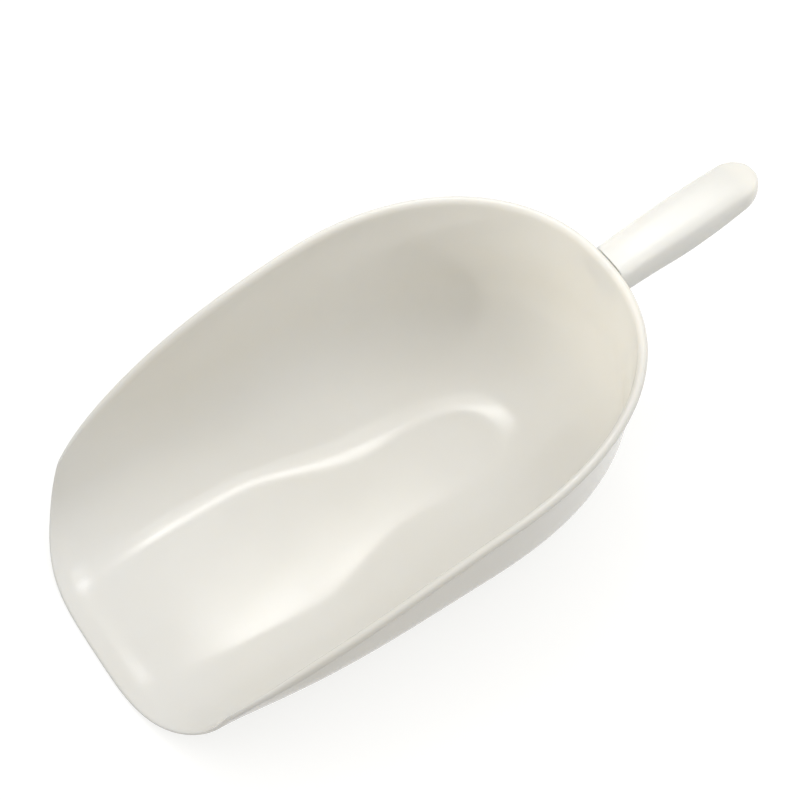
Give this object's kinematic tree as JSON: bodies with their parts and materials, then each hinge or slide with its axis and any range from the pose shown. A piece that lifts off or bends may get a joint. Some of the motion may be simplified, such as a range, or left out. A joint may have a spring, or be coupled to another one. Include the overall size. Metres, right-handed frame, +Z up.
{
  "type": "ice scoop",
  "caption": "White moulded plastic ice scoop: deep open bowl with a flat floor, beaded rim and a short hollow handle.",
  "frame": {"origin": "centre of the overall box, on the plane of the bowl's flat underside", "axes": "+X across the scoop, +Y from the lip towards the handle, +Z up"},
  "size_m": [0.2, 0.394, 0.1141],
  "materials": {
    "bowl_plastic": "soft gloss, slightly translucent white polypropylene",
    "grip_plastic": "soft gloss, white polypropylene",
    "cover_plastic": "satin, white polypropylene",
    "screw_steel": "plain stainless steel"
  },
  "bodies": {
    "root": {"bowl": "bowl_plastic", "handle_grip": "grip_plastic", "handle_cover": "cover_plastic", "handle_screw_front": "screw_steel", "handle_screw_rear": "screw_steel"}
  },
  "joints": []
}
